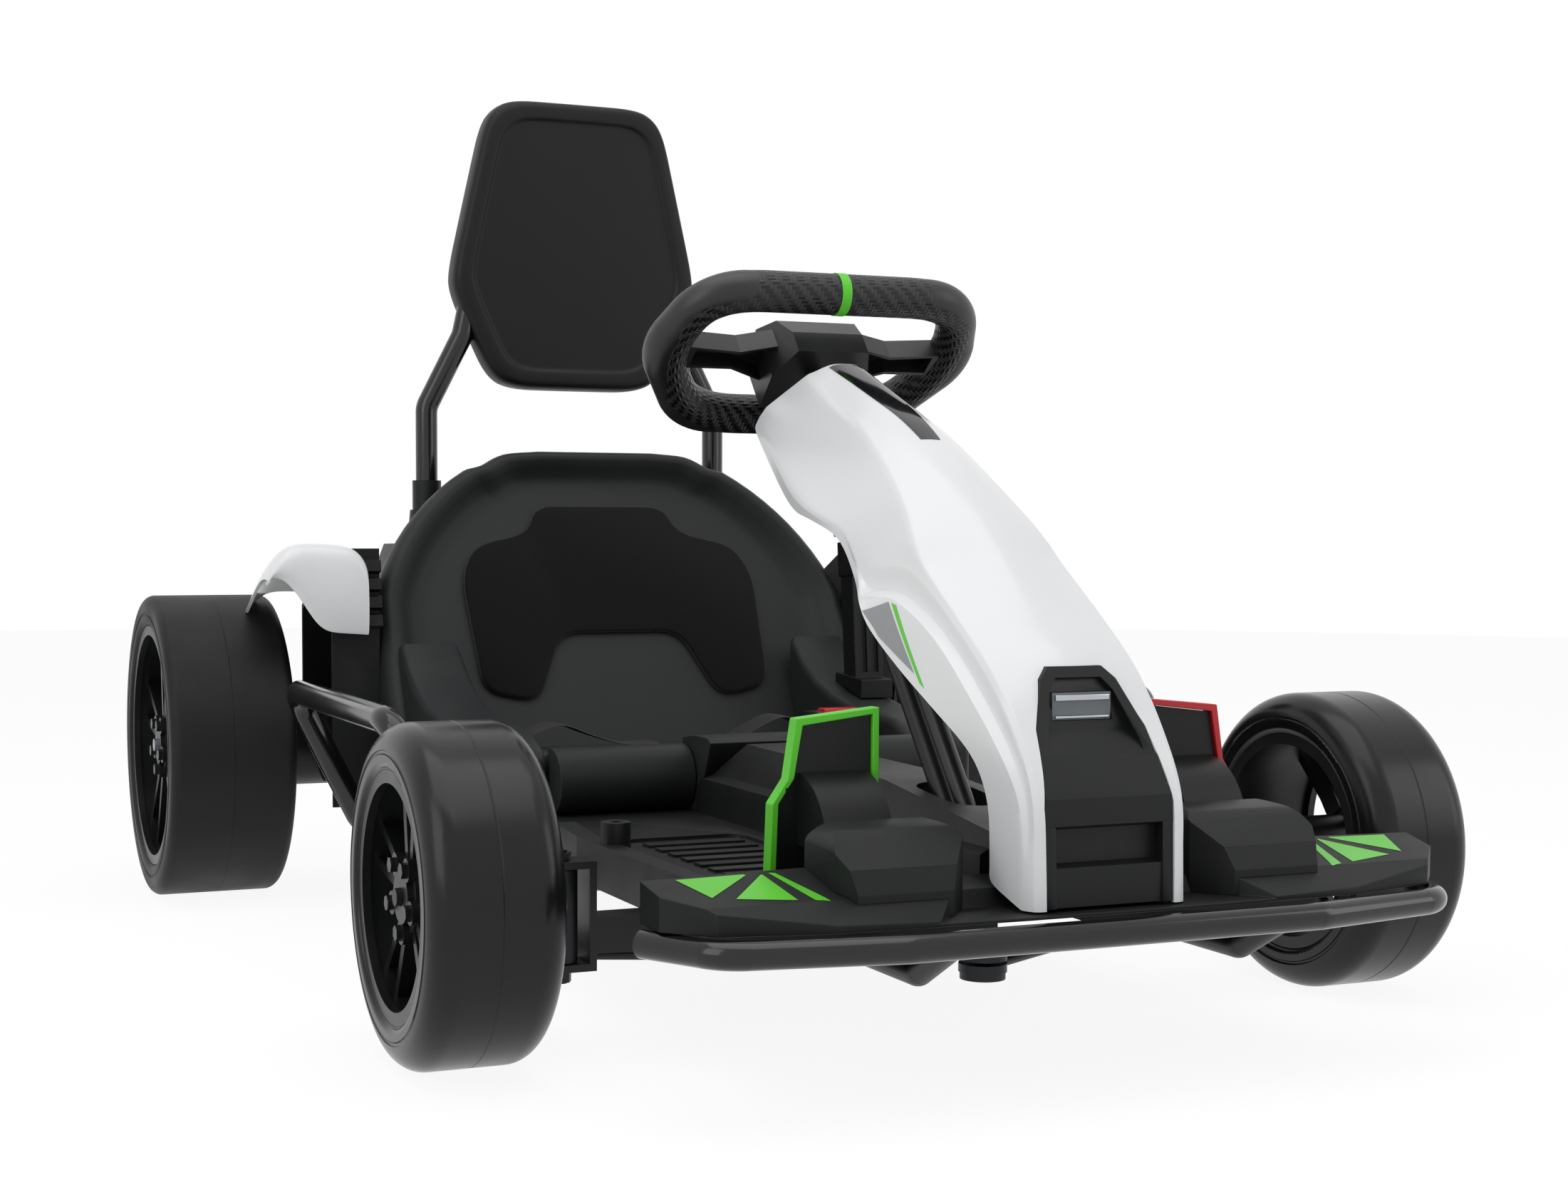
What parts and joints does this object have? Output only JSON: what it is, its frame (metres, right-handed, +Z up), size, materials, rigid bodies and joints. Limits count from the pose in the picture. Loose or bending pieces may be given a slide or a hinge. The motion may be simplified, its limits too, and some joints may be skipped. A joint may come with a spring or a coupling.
{
  "type": "electric drift kart",
  "caption": "Child's electric drift kart with slick tyres, moulded bucket seat and backrest, nose fairing over a leaning steering column, and tube bumper and side bars.",
  "frame": {"origin": "on the ground under the middle of the kart's length and width", "axes": "+Z up, -Y forward, -X the kart's right side"},
  "size_m": [0.8768, 1.1901, 0.793],
  "materials": {
    "back_foam": "matte",
    "battery_case": "matte",
    "black_steel": "gloss",
    "clear_lens": "gloss",
    "dark_steel": "satin",
    "floor_plastic": "matte",
    "green_trim": "satin",
    "pad_fabric": "matte",
    "red_lens": "gloss",
    "red_trim": "satin",
    "rim_plastic": "satin",
    "seat_plastic": "matte",
    "smoked_window": "gloss",
    "trim_plastic": "satin",
    "tyre_rubber": "matte",
    "white_plastic": "gloss",
    "zinc_steel": "satin"
  },
  "bodies": {
    "chassis": {"frame": "black_steel", "front_beam": "black_steel", "bumper": "black_steel", "side_bar_right": "black_steel", "side_bar_left": "black_steel", "floor_pan": "floor_plastic", "front_deck": "floor_plastic", "foot_blocks": "trim_plastic", "fairing": "white_plastic", "nose_insert": "trim_plastic", "lamp": "clear_lens", "dash_window": "smoked_window", "column_support": "black_steel", "pedal_right": "trim_plastic", "pedal_trim_right": "green_trim", "pedal_left": "trim_plastic", "pedal_trim_left": "red_trim", "seat_shell": "seat_plastic", "seat_base": "seat_plastic", "seat_pad": "pad_fabric", "lap_belt": "pad_fabric", "tail_lamp": "red_lens", "fender_right": "white_plastic", "fender_left": "white_plastic", "rear_cover": "floor_plastic", "battery": "battery_case", "gearbox_right": "trim_plastic", "gearbox_left": "trim_plastic", "rear_axle": "zinc_steel", "backrest_posts": "black_steel", "post_sockets": "trim_plastic", "backrest": "back_foam", "hand_lever": "trim_plastic"},
    "steering": {"steering_wheel": "trim_plastic", "grip_band": "green_trim"},
    "knuckle_right": {"knuckle_right": "dark_steel"},
    "tie_rod_right": {"tie_rod_right": "dark_steel"},
    "front_wheel_right": {"tyre_front_right": "tyre_rubber", "rim_front_right": "rim_plastic"},
    "rear_wheel_right": {"tyre_rear_right": "tyre_rubber", "rim_rear_right": "rim_plastic"},
    "knuckle_left": {"knuckle_left": "dark_steel"},
    "tie_rod_left": {"tie_rod_left": "dark_steel"},
    "front_wheel_left": {"tyre_front_left": "tyre_rubber", "rim_front_left": "rim_plastic"},
    "rear_wheel_left": {"tyre_rear_left": "tyre_rubber", "rim_rear_left": "rim_plastic"}
  },
  "joints": [
    {"name": "steering_turn", "type": "hinge", "parent": "chassis", "child": "steering", "pos_m": [0, -0.119, 0.496], "axis": [0, 0.6225, 0.7826], "range_deg": [-40, 40]},
    {"name": "kingpin_right", "type": "hinge", "parent": "chassis", "child": "knuckle_right", "pos_m": [-0.282, -0.33, 0.095], "axis": [0, 0, 1], "range_deg": [-28, 28]},
    {"name": "tie_rod_eye_right", "type": "hinge", "parent": "knuckle_right", "child": "tie_rod_right", "pos_m": [-0.282, -0.268, 0.05768], "axis": [0, 0, 1], "range_deg": [-28, 28]},
    {"name": "front_spin_right", "type": "hinge", "parent": "knuckle_right", "child": "front_wheel_right", "pos_m": [-0.3576, -0.33, 0.115], "axis": [1, 0, 0], "continuous": true},
    {"name": "rear_spin_right", "type": "hinge", "parent": "chassis", "child": "rear_wheel_right", "pos_m": [-0.3804, 0.45, 0.145], "axis": [1, 0, 0], "continuous": true},
    {"name": "kingpin_left", "type": "hinge", "parent": "chassis", "child": "knuckle_left", "pos_m": [0.282, -0.33, 0.095], "axis": [0, 0, 1], "range_deg": [-28, 28]},
    {"name": "tie_rod_eye_left", "type": "hinge", "parent": "knuckle_left", "child": "tie_rod_left", "pos_m": [0.282, -0.268, 0.05768], "axis": [0, 0, 1], "range_deg": [-28, 28]},
    {"name": "front_spin_left", "type": "hinge", "parent": "knuckle_left", "child": "front_wheel_left", "pos_m": [0.3576, -0.33, 0.115], "axis": [1, 0, 0], "continuous": true},
    {"name": "rear_spin_left", "type": "hinge", "parent": "chassis", "child": "rear_wheel_left", "pos_m": [0.3804, 0.45, 0.145], "axis": [1, 0, 0], "continuous": true}
  ],
  "couplings": [
    {"joint": "kingpin_right", "follows": "steering_turn", "ratio": 0.7},
    {"joint": "tie_rod_eye_right", "follows": "steering_turn", "ratio": -0.7},
    {"joint": "kingpin_left", "follows": "steering_turn", "ratio": 0.7},
    {"joint": "tie_rod_eye_left", "follows": "steering_turn", "ratio": -0.7}
  ]
}
